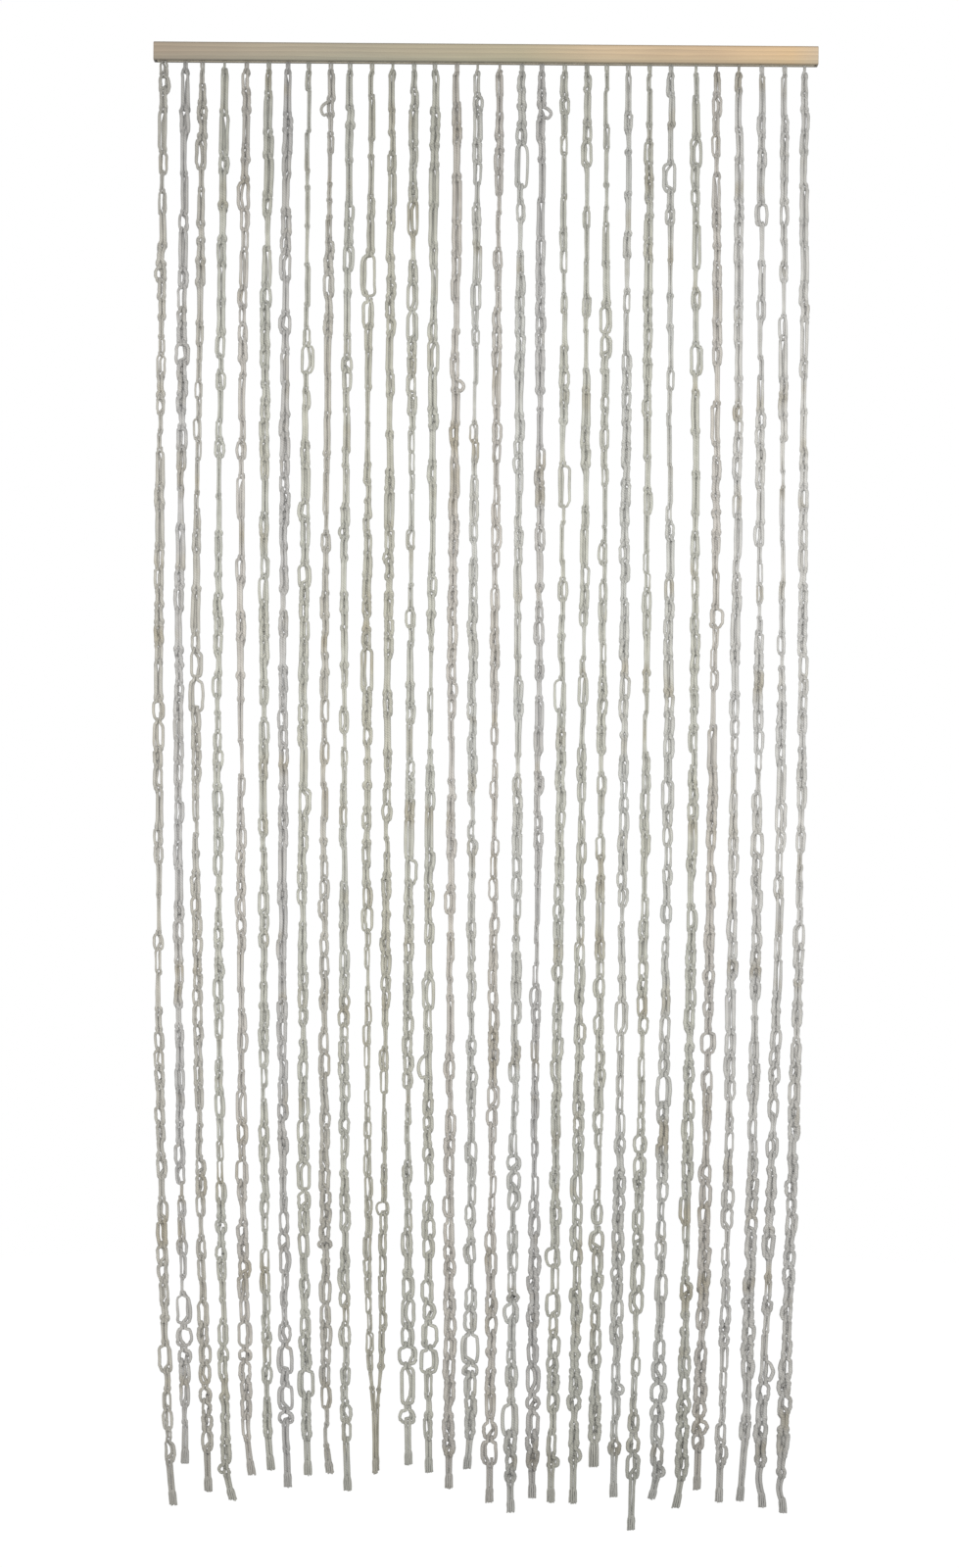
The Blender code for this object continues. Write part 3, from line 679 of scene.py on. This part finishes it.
def start_path(first, single):
    """The lead from the strip, and the ring that the first stitch hangs in."""
    cord = first.cord
    if first.top < LEAD - 2 * BAR_UP:
        return [Knot(-first.side * BESIDE * cord, 0, -BAR_UP, 1)]
    beside = 0 if single else -0.5 * DOUBLE_LEAD
    ring = START_RING * cord
    neck, sides, low = (first.top - up * cord for up in RING_UP)
    return [
        Knot(beside, 0, -BAR_UP, 1),
        Knot(beside, 0, LEAD_STRAIGHT * first.top, 1),
        Knot(RING_ENTRY[0] * cord, RING_ENTRY[1] * cord, neck, 1),
        Knot(-ring, 0, sides, 2),
        Knot(-RING_NARROW * ring, 0, low, 2),
        Knot(0, 0, first.top, 2),
        Knot(RING_NARROW * ring, 0, low, 2),
        Knot(ring, 0, sides, 2),
        Knot(RING_EXIT[0] * cord, RING_EXIT[1] * cord, neck, 2),
    ]


def tail_path(number, which):
    """One of the two runs of cord below the last stitch, laid round each other."""
    string = STRINGS[number]
    foot = string.hang - string.tail - BAR_UP
    height = end_of(number)[0]
    drops = np.arange(foot + TAIL_FROM, string.hang - height + TAIL_CORD, TAIL_STEP)
    angles = math.pi * which + TAIL_SWING * np.sin(math.tau * (drops - foot) / TAIL_LAY + number)
    bow = TAIL_BOWS.get(number, 0) * np.sin(math.pi * (drops - foot) / (drops[-1] - foot))
    radius = TAIL_RADIUS * SLENDER.get(number, 1)
    across, depth = bow + radius * np.cos(angles), radius * np.sin(angles)
    return [Knot(a, b, drop, 1) for a, b, drop in zip(across, depth, drops)]


def end_of(number):
    """The height and width of the string's cut end."""
    height = min(END_HEIGHT, 0.5 * STRINGS[number].tail)
    return BUSHY_ENDS.get(number, (height, END_WIDTH * SLENDER.get(number, 1)))


def middles_of(plan):
    """The drops of the stitches' middles."""
    return [(stitch.top + stitch.foot) / 2 for stitch in plan]


def placed(number, knots, plan):
    """Where knots lie on the hanging string: x, depth and drop, after the chain's own turns."""
    across, depth, drops = np.array([knot[:3] for knot in knots]).T
    turn = np.interp(drops, middles_of(plan), [stitch.turn for stitch in plan])
    x = path_x(number, drops) + across * np.cos(turn) - depth * np.sin(turn)
    y = path_y(number, drops) + across * np.sin(turn) + depth * np.cos(turn)
    return np.column_stack([x, y, drops])


def smooth(points, steps):
    """A smooth curve through the points, with the given number of steps after each."""
    around = np.vstack([2 * points[0] - points[1], points, 2 * points[-1] - points[-2]])
    apart = np.diff(around, axis=0)
    span = np.sqrt(np.linalg.norm(apart, axis=1, keepdims=True))
    speed = apart / span
    over_two = (around[2:] - around[:-2]) / (span[:-1] + span[1:])
    slope = speed[:-1] - over_two + speed[1:]
    which = np.repeat(np.arange(len(points) - 1), steps[:-1])
    share = np.concatenate([np.arange(count) / count for count in steps[:-1]])[:, None]
    start, end = points[which], points[which + 1]
    leaving = slope[which] * span[1:-1][which]
    coming = slope[which + 1] * span[1:-1][which]
    square, cube = share**2, share**3
    curve = ((2 * cube - 3 * square + 1) * start + (3 * square - 2 * cube) * end
             + (cube - 2 * square + share) * leaving + (cube - square) * coming)
    return np.vstack([curve, points[-1]])


def carried_along(points):
    """Two directions square to the curve at each point, carried along it without a twist."""
    ahead = np.gradient(points, axis=0)
    ahead /= np.linalg.norm(ahead, axis=1, keepdims=True)
    beside = np.empty_like(points)
    last = np.array([0.0, 1.0, 0.0])
    for k, way in enumerate(ahead):
        last = last - way * last.dot(way)
        last /= math.sqrt(last.dot(last))
        beside[k] = last
    return beside, np.cross(ahead, beside)


def tube(curve, radius, pale, close):
    """The rings, faces and surface coordinates of a round cord along the curve, in metres."""
    points = np.column_stack([curve[:, 0], STRING_Y + curve[:, 1], UNDERSIDE_Z - curve[:, 2]]) * MM
    beside, above = carried_along(points)
    angles = np.arange(SIDES) * math.tau / SIDES
    round_x, round_y = np.cos(angles), np.sin(angles)
    out = beside[:, None] * round_x[None, :, None] + above[:, None] * round_y[None, :, None]
    rings = points[:, None] + out * (radius * MM)[:, None, None]
    along = np.concatenate([[0], np.cumsum(np.linalg.norm(np.diff(points, axis=0), axis=1))])
    ring = np.arange(len(points) - 1)[:, None] * SIDES
    here = np.arange(SIDES)[None]
    there = (here + 1) % SIDES
    sides = np.stack([ring + here, ring + there, ring + there + SIDES, ring + here + SIDES], axis=2)
    last = (len(points) - 1) * SIDES
    first_cap, last_cap = [[3, 2, 1, 0], [5, 4, 3, 0]], [[0, 1, 2, 3], [0, 3, 4, 5]]
    caps = first_cap + [[last + corner for corner in cap] for cap in last_cap]
    faces = np.vstack([sides.reshape(-1, 4), caps])
    surface = np.empty((len(points), SIDES, 3))
    surface[..., 0] = round_x
    surface[..., 1] = round_y
    surface[..., 2] = along[:, None]
    # The second column holds how much painted shade falls on each point where stitches meet
    shades = np.repeat(np.column_stack([np.full(len(points), pale), close]), SIDES, axis=0)
    return rings.reshape(-1, 3), faces, surface.reshape(-1, 3), shades


def thickness(number, plan, drops):
    """The cord's thickness at these drops: the lead's, each stitch's own, and the tail's below them."""
    middles = middles_of(plan)
    places = [min(LEAD_TO, middles[0] - 1), *middles, plan[-1].foot + TAIL_DRAWN_IN]
    tail = TAIL_CORD * SLENDER.get(number, 1)
    lead = SINGLE_LEAD if number in SINGLE_LEADS else DOUBLE_LEAD
    return np.interp(drops, places, [lead, *(stitch.cord for stitch in plan), tail])


def join_shade_share(plan, drops):
    """How near these drops are to where one stitch hangs in another, from 0 to 1: how much painted shade
    falls there.
    """
    joins = np.array([plan[0].top, *(stitch.foot for stitch in plan)])
    apart = np.abs(drops[:, None] - joins[None]).min(axis=1)
    return np.exp(-(apart / JOIN_SHADE_REACH) ** 2)


def strand(number, knots, plan, thick, draw):
    """A cord through the knots, a little thicker and thinner along its length."""
    curve = smooth(placed(number, knots, plan), [knot.steps for knot in knots])
    phase = draw.uniform(0, math.tau)
    swell = 1 + SWELL * np.sin(SWELL_STEP * np.arange(len(curve)) + phase)
    drops = curve[:, 2]
    return tube(curve, thick / 2 * swell * thickness(number, plan, drops), 0, join_shade_share(plan, drops))


def loosened(knots, cord, draw):
    """The knots, each moved a little, as cord worked by hand lies."""
    far = LOOSE * cord
    return [
        knot._replace(
            across=knot.across + draw.uniform(-far, far),
            depth=knot.depth + draw.uniform(-far, far) / 2,
            drop=knot.drop + draw.uniform(-far, far),
        )
        for knot in knots
    ]


def ply(number, k, draw):
    """One ply of a cut end, sprung open from the cords above."""
    height, width = end_of(number)
    hang = STRINGS[number].hang
    share = 2 * k / (PLIES - 1) - 1
    out_x = share * (width - PLY) / 2
    out_y = (k % PLY_ROWS - 1) * math.sqrt(END_ROUND - share**2) * (END_DEPTH - PLY) / 2
    tip = hang - draw.uniform(0, END_RAGGED)
    start, length = hang - height - PLY_ABOVE, tip - hang + height + PLY_ABOVE
    knots = []
    for part in PLY_SHARES:
        open_by = PLY_CLOSED + PLY_OPENED * min(1, PLY_OPENS * part)
        across = out_x * open_by + draw.uniform(-PLY_LOOSE, PLY_LOOSE)
        depth = out_y * open_by + draw.uniform(-PLY_LOOSE, PLY_LOOSE)
        knots.append(Knot(across, depth, start + length * part, 2))
    points = np.array([knot[:3] for knot in knots])
    points[:, 0] += path_x(number, points[:, 2])
    points[:, 1] += path_y(number, points[:, 2])
    curve = smooth(points, [knot.steps for knot in knots])
    thick = np.full(len(curve), PLY / 2)
    thick[0] = PLY_ROOT * PLY / 2
    return tube(curve, thick, 1, 0 * thick)


def worked_cord(number, plan, draw):
    """The points of the cord from the strip through all stitches and down one run of the tail."""
    knots = start_path(plan[0], number in SINGLE_LEADS)
    for stitch in plan:
        knots += loosened(stitch_path(stitch), stitch.cord, draw)
    foot, cord = plan[-1].foot, plan[-1].cord
    beside = BESIDE * cord
    knots += [Knot(-beside, 0, foot - EYE * cord, 2), Knot(-beside, -IN_FRONT * cord, foot, 2)]
    return knots + tail_path(number, 1)


def second_tail(number, last):
    """The points of the tail's second run, from the last stitch's bend."""
    cord = last.cord
    start = [Knot(BESIDE * cord, depth * cord, last.foot + down * cord, 2) for depth, down in TAIL_START]
    return start + tail_path(number, 0)


def build_string(number, material):
    """One string: its cord, the second run of its lead, the tail's second run and the cut ends."""
    draw = random.Random(PATH_SEED + number)
    plan = plan_of(number)
    thick = draw.uniform(THIN_CORD, THICK_CORD)
    strands = [strand(number, worked_cord(number, plan, draw), plan, thick, draw)]
    if number not in SINGLE_LEADS and plan[0].top > LEAD - 2 * BAR_UP:
        lead = (-BAR_UP, 0.5 * plan[0].top, plan[0].top)
        second = [Knot(0.5 * DOUBLE_LEAD, 0, drop, 1) for drop in lead]
        strands.append(strand(number, second, plan, thick, draw))
    strands.append(strand(number, second_tail(number, plan[-1]), plan, thick, draw))
    strands += [ply(number, k, draw) for k in range(PLIES)]
    piece = joined("string_%02d" % (number + 1), strands, material)
    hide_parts("strings_left" if number < LEFT_COUNT else "strings_right")


def joined(name, strands, material):
    """One piece from several tubes, with what its material reads at each point."""
    mesh = bpy.data.meshes.new(name)
    counts = np.cumsum([0] + [len(rings) for rings, *_ in strands])
    points = np.vstack([rings for rings, *_ in strands])
    faces = np.vstack([quads + start for (_, quads, _, _), start in zip(strands, counts)])
    mesh.from_pydata(points.tolist(), [], faces.tolist())
    twist = mesh.attributes.new("twist", "FLOAT_VECTOR", "POINT")
    twist.data.foreach_set("vector", np.vstack([surface for _, _, surface, _ in strands]).ravel())
    shades = np.vstack([shades for *_, shades in strands])
    for column, label in enumerate(("pale", "close")):
        attribute = mesh.attributes.new(label, "FLOAT", "POINT")
        attribute.data.foreach_set("value", shades[:, column])
    mesh.shade_smooth()
    return added(name, mesh, material)


def added(name, mesh, material):
    """Puts a mesh in the scene as a piece that rides on the curtain's one body."""
    mesh.materials.append(material)
    piece = bpy.data.objects.new(name, mesh)
    bpy.context.scene.collection.objects.link(piece)
    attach(piece, "root")
    return piece


def build_heading(material):
    """The woven strip in the lath's underside that the strings' roots are sewn to."""
    mesh = bmesh.new()
    bmesh.ops.create_cube(mesh, size=1)
    size = (STRIP_LENGTH * MM, STRIP_DEPTH * MM, STRIP_HEIGHT * MM)
    middle = (0, STRING_Y * MM, (UNDERSIDE_Z + STRIP_HEIGHT / 2) * MM)
    bmesh.ops.scale(mesh, vec=size, verts=mesh.verts)
    bmesh.ops.translate(mesh, vec=middle, verts=mesh.verts)
    edge = {"offset": STRIP_EDGE * MM, "segments": STRIP_EDGE_STEPS, "profile": 0.5}
    bmesh.ops.bevel(mesh, geom=mesh.edges[:], affect="EDGES", **edge)
    data = bpy.data.meshes.new("heading_strip")
    mesh.to_mesh(data)
    mesh.free()
    data.shade_smooth()
    piece = added("heading_strip", data, material)
    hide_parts("strings_left", "strings_right")


def linear(red, green, blue):
    """A colour as a screen shows it, 0 to 255, turned into the light it stands for."""
    return tuple((channel / 255) ** GAMMA for channel in (red, green, blue)) + (1,)


def add(tree, kind, sockets=None, **settings):
    """A shader node with its settings, its inputs set to values or linked."""
    made = tree.nodes.new(kind)
    for name, value in settings.items():
        setattr(made, name, value)
    for key, value in (sockets or {}).items():
        if isinstance(value, bpy.types.NodeSocket):
            tree.links.new(value, made.inputs[key])
        else:
            made.inputs[key].default_value = value
    return made


def calculate(tree, operation, *values):
    """The result of a sum or function of the values."""
    sockets = dict(enumerate(values))
    return add(tree, "ShaderNodeMath", sockets, operation=operation).outputs[0]


def product(tree, first, *others):
    """All the values multiplied."""
    for other in others:
        first = calculate(tree, "MULTIPLY", first, other)
    return first


def mixed(tree, share, first, second, blend="MIX"):
    """A mix of two colours."""
    sockets = {0: share, 6: first, 7: second}
    return add(tree, "ShaderNodeMix", sockets, data_type="RGBA", blend_type=blend).outputs[2]


def ranged(tree, value, low, high, new_low, new_high):
    """A value moved from one range to another, and kept within it."""
    sockets = {0: value, 1: low, 2: high, 3: new_low, 4: new_high}
    return add(tree, "ShaderNodeMapRange", sockets).outputs[0]


def noise(tree, place, mottle):
    """The marks of a surface, before they are brought to their range."""
    sockets = {"Vector": place, "Scale": mottle.scale, "Detail": mottle.detail, "Roughness": mottle.roughness}
    return add(tree, "ShaderNodeTexNoise", sockets).outputs["Fac"]


def mottled(tree, marks, mottle):
    """The marks of a surface, brought to their range."""
    return ranged(tree, marks, mottle.low, mottle.high, mottle.least, mottle.most)


def split(tree, vector):
    """The three parts of a vector."""
    return add(tree, "ShaderNodeSeparateXYZ", {0: vector}).outputs


def point_value(tree, name, output="Fac"):
    """What a mesh's points hold under a name."""
    return add(tree, "ShaderNodeAttribute", attribute_name=name).outputs[output]


def shaded(tree, colour, shade):
    """A colour made darker or lighter by a value."""
    grey = add(tree, "ShaderNodeCombineColor", {0: shade, 1: shade, 2: shade}).outputs[0]
    return mixed(tree, 1.0, colour, grey, "MULTIPLY")


def new_material(name, roughness):
    """A material with its nodes and its shader."""
    material = bpy.data.materials.new(name)
    material.use_nodes = True
    shader = material.node_tree.nodes["Principled BSDF"]
    shader.inputs["Roughness"].default_value = roughness
    return material, material.node_tree, shader


def finished(tree, shader, colour, height, relief):
    """Gives the shader its colour and its relief."""
    tree.links.new(colour, shader.inputs["Base Color"])
    strength, depth = relief
    bump = add(tree, "ShaderNodeBump", {"Strength": strength, "Distance": depth * MM, "Height": height})
    tree.links.new(bump.outputs[0], shader.inputs["Normal"])


def cord_material(name, colour):
    """Twisted cord of natural fibre: its plies run round it, and its colour drifts along it."""
    material, tree, shader = new_material(name, CORD_ROUGHNESS)
    shader.inputs["Sheen Weight"].default_value = CORD_SHEEN
    shader.inputs["Specular IOR Level"].default_value = CORD_GLOSS
    place = add(tree, "ShaderNodeTexCoord").outputs["Object"]
    ridge = ply_ridges(tree)
    fibre = noise(tree, place, CORD_FIBRE)
    close = point_value(tree, "close")
    shade = product(
        tree,
        mottled(tree, noise(tree, place, CORD_PATCH), CORD_PATCH),
        mottled(tree, fibre, CORD_FIBRE),
        # Painted light and shade by height and along the lath
        painted_light_by_height(tree, place),
        # Painted shade where one stitch hangs in another, and painted light between
        ranged(tree, close, 0, 1, PAINTED_LIGHT_APART, PAINTED_SHADE_AT_JOINS),
        # Painted shade in the grooves between the plies
        ranged(tree, ridge, 0, PLY_EDGE, PAINTED_GROOVE_SHADE, 1),
    )
    mottled_and_painted = shaded(tree, cord_colour(tree, place, name, colour), shade)
    lighter = product(tree, point_value(tree, "pale"), PALE_ENDS)
    height = calculate(tree, "MULTIPLY_ADD", fibre, FIBRE_RELIEF, ridge)
    finished(tree, shader, mixed(tree, lighter, mottled_and_painted, linear(*FRESH_FIBRE)), height, CORD_RELIEF)
    return material


def ply_ridges(tree):
    """The ridges of the plies that run round the cord, from 0 in the grooves to 1."""
    parts = split(tree, point_value(tree, "twist", "Vector"))
    around = calculate(tree, "ARCTAN2", parts["Y"], parts["X"])
    along = product(tree, parts["Z"], math.pi * COUNT_OF_PLIES / (PLY_LAY * MM))
    phase = calculate(tree, "MULTIPLY_ADD", around, COUNT_OF_PLIES / 2, along)
    return calculate(tree, "ABSOLUTE", calculate(tree, "SINE", phase))


def cord_colour(tree, place, name, colour):
    """The cord's colour with its drift, its brown patches and, for some strings, a browner foot."""
    drift = mottled(tree, noise(tree, place, CORD_DRIFT), CORD_DRIFT)
    warmer = [channel + more for channel, more in zip(colour, WARMER)]
    base = mixed(tree, drift, linear(*colour), linear(*warmer))
    browned = mottled(tree, noise(tree, place, CORD_BROWN), CORD_BROWN)
    base = mixed(tree, browned, base, linear(*BROWN_PATCH))
    if name not in STAINED_FEET:
        return base
    high, low = (UNDERSIDE_Z - STAIN_FROM) * MM, (UNDERSIDE_Z - STAIN_TO) * MM
    stained = ranged(tree, split(tree, place)["Z"], high, low, 0, STAINED_FEET[name])
    return mixed(tree, stained, base, linear(*BROWN_PATCH))


def painted_light_by_height(tree, place):
    """Painted light and shade on the cord by its height, a little darker at the left above and at the right
    below.
    """
    parts = split(tree, place)
    longest = PAINTED_LIGHT_BY_DROP[-1][0]
    share = ranged(tree, parts["Z"], UNDERSIDE_Z * MM, (UNDERSIDE_Z - longest) * MM, 0, 1)
    across = product(tree, parts["X"], PAINTED_LIGHT_TILT / (RAIL_LENGTH / 2 * MM))
    above = ranged(tree, parts["Z"], 0, -2 * LEVEL_DROP * MM, 1, -1)
    painted_tilt = calculate(tree, "MULTIPLY_ADD", across, above, 1)
    curve = add(tree, "ShaderNodeFloatCurve", {1: share})
    points = curve.mapping.curves[0].points
    points[0].location = (0, PAINTED_LIGHT_BY_DROP[0][1] / CURVE_TOP)
    points[1].location = (1, PAINTED_LIGHT_BY_DROP[-1][1] / CURVE_TOP)
    for drop, value in PAINTED_LIGHT_BY_DROP[1:-1]:
        points.new(drop / longest, value / CURVE_TOP)
    curve.mapping.update()
    return product(tree, curve.outputs[0], CURVE_TOP, painted_tilt)


def stretched(tree, place, along, centre=(0, 0, 0)):
    """Places drawn out along the lath, so that marks there are long."""
    return add(tree, "ShaderNodeMapping", {0: place, 1: centre, 3: (along, 1, 1)}).outputs[0]


def wood_material():
    """Bare planed softwood: growth rings along the lath, greyer at its left end and redder at its right, with
    painted light that leaves the left end darker and the right end lighter.
    """
    material, tree, shader = new_material("bare_wood", WOOD_ROUGHNESS)
    shader.inputs["Specular IOR Level"].default_value = WOOD_GLOSS
    place = add(tree, "ShaderNodeTexCoord").outputs["Object"]
    parts = split(tree, place)
    sockets = {"Vector": stretched(tree, place, RING_STRETCH, RING_CENTRE), **RINGS}
    settings = {"wave_type": "RINGS", "rings_direction": "X", "wave_profile": "SAW"}
    rings = add(tree, "ShaderNodeTexWave", sockets, **settings).outputs["Fac"]
    fibres = noise(tree, stretched(tree, place, FIBRE_STRETCH), WOOD_FIBRE)
    blotch = noise(tree, stretched(tree, place, BLOTCH_STRETCH), WOOD_BLOTCH)
    shade = product(
        tree,
        ranged(tree, rings, 0, 1, RING_LIGHT, RING_DARK),
        mottled(tree, fibres, WOOD_FIBRE),
        mottled(tree, blotch, WOOD_BLOTCH),
        # Painted shade at the upper and lower edges
        painted_edge_shade(tree, parts["Z"]),
    )
    tree.links.new(ranged(tree, fibres, *WOOD_ROUGH_RANGE), shader.inputs["Roughness"])
    relief = calculate(tree, "MULTIPLY_ADD", rings, RING_RELIEF, fibres)
    finished(tree, shader, shaded(tree, wood_colour(tree, parts), shade), relief, WOOD_RELIEF)
    return material


def wood_colour(tree, parts):
    """The wood's colour along the lath, with painted light darker at the left and lighter at the right, and
    cooler in its lower half.
    """
    half = RAIL_LENGTH / 2 * MM
    ramp = add(tree, "ShaderNodeValToRGB", {0: ranged(tree, parts["X"], -half, half, 0, 1)})
    stops = ramp.color_ramp.elements
    stops[0].position, stops[0].color = WOOD_TONE_AND_LIGHT_ALONG[0][0], linear(*WOOD_TONE_AND_LIGHT_ALONG[0][1])
    stops[1].position, stops[1].color = WOOD_TONE_AND_LIGHT_ALONG[-1][0], linear(*WOOD_TONE_AND_LIGHT_ALONG[-1][1])
    for position, colour in WOOD_TONE_AND_LIGHT_ALONG[1:-1]:
        stops.new(position).color = linear(*colour)
    lower = ranged(tree, parts["Z"], 0, -TINT_DOWN * (RAIL_HEIGHT / 2 * MM), 0, 1)
    return mixed(tree, lower, ramp.outputs[0], linear(*LOWER_TINT), "MULTIPLY")


def painted_edge_shade(tree, height):
    """Painted shade towards the lath's upper and its lower edge: how much darker it is there."""
    top = RAIL_HEIGHT / 2 * MM
    upper = ranged(tree, height, top - UPPER_EDGE * MM, top, 1, UPPER_PAINTED_SHADE)
    lower = ranged(tree, height, LOWER_EDGE * MM - top, -top, 1, LOWER_PAINTED_SHADE)
    return product(tree, upper, lower)


def webbing_material():
    """A plain weave: two sets of threads that pass over each other by turns."""
    material, tree, shader = new_material("webbing", WEB_ROUGHNESS)
    place = add(tree, "ShaderNodeTexCoord").outputs["Object"]
    parts = split(tree, place)
    waves = [
        calculate(tree, "SINE", product(tree, parts[axis], math.pi / (THREAD * MM)))
        for axis in ("X", "Y")
    ]
    weave = product(tree, *waves)
    fibre = mottled(tree, noise(tree, place, WEB_FIBRE), WEB_FIBRE)
    shade = product(tree, ranged(tree, weave, -1, 1, WEAVE_DARK, WEAVE_LIGHT), fibre)
    finished(tree, shader, shaded(tree, linear(*WEBBING), shade), weave, WEB_RELIEF)
    return material


def build_stage():
    """A plain floor just below the longest string, as white as the light around it and without gloss."""
    mesh = bmesh.new()
    bmesh.ops.create_circle(mesh, cap_ends=True, segments=FLOOR_STEPS, radius=FLOOR_RADIUS)
    bmesh.ops.translate(mesh, vec=(0, 0, FLOOR_Z), verts=mesh.verts)
    data = bpy.data.meshes.new("floor")
    mesh.to_mesh(data)
    mesh.free()
    material, _, shader = new_material("floor_white", FLOOR_ROUGHNESS)
    shader.inputs["Base Color"].default_value = (FLOOR_GREY, FLOOR_GREY, FLOOR_GREY, 1)
    shader.inputs["Specular IOR Level"].default_value = 0
    shader.inputs["Emission Color"].default_value = (1, 1, 1, 1)
    shader.inputs["Emission Strength"].default_value = FLOOR_GLOW
    data.materials.append(material)
    floor = bpy.data.objects.new("floor", data)
    bpy.context.scene.collection.objects.link(floor)


def build_light():
    """White light from all round, and two broad soft lamps far in front, to the left and to the right."""
    world = bpy.data.worlds.new("studio")
    bpy.context.scene.world = world
    world.use_nodes = True
    sky = world.node_tree.nodes["Background"]
    sky.inputs["Color"].default_value = (1, 1, 1, 1)
    sky.inputs["Strength"].default_value = 1
    for name, place, size, power in LAMPS:
        data = bpy.data.lights.new(name, "AREA")
        data.shape = "DISK"
        data.size = size
        data.energy = power
        lamp = bpy.data.objects.new(name, data)
        lamp.location = place
        aim = mathutils.Vector((0, 0, VIEW_CENTRE_Z)) - lamp.location
        lamp.rotation_euler = aim.to_track_quat("-Z", "Y").to_euler()
        bpy.context.scene.collection.objects.link(lamp)


def build_camera():
    """Level and square to the curtain, and rolled a little, as the photograph was taken."""
    data = bpy.data.cameras.new("camera")
    high = FRAME_HEIGHT / PIXELS_PER_METRE
    data.lens = data.sensor_width * CAMERA_AWAY / high
    data.clip_end = CAMERA_SEES_TO
    camera = bpy.data.objects.new("camera", data)
    camera.location = (VIEW_CENTRE_X, STRING_Y * MM - CAMERA_AWAY, VIEW_CENTRE_Z)
    camera.rotation_euler = (math.pi / 2, math.radians(CAMERA_ROLL), 0)
    bpy.context.scene.collection.objects.link(camera)
    bpy.context.scene.camera = camera


def main():
    """Builds the looks and the stage."""
    bpy.context.scene.view_settings.view_transform = "Standard"
    cords = {name: cord_material("cord_" + name, colour) for name, (colour, _) in TINTS.items()}
    tint_of = {number: name for name, (_, numbers) in TINTS.items() for number in numbers}
    for number in range(len(STRINGS)):
        build_string(number, cords[tint_of[number + 1]])
    build_heading(webbing_material())
    wood = wood_material()
    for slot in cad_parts["rail"].material_slots:
        slot.material = wood
    build_stage()
    build_light()
    build_camera()


main()
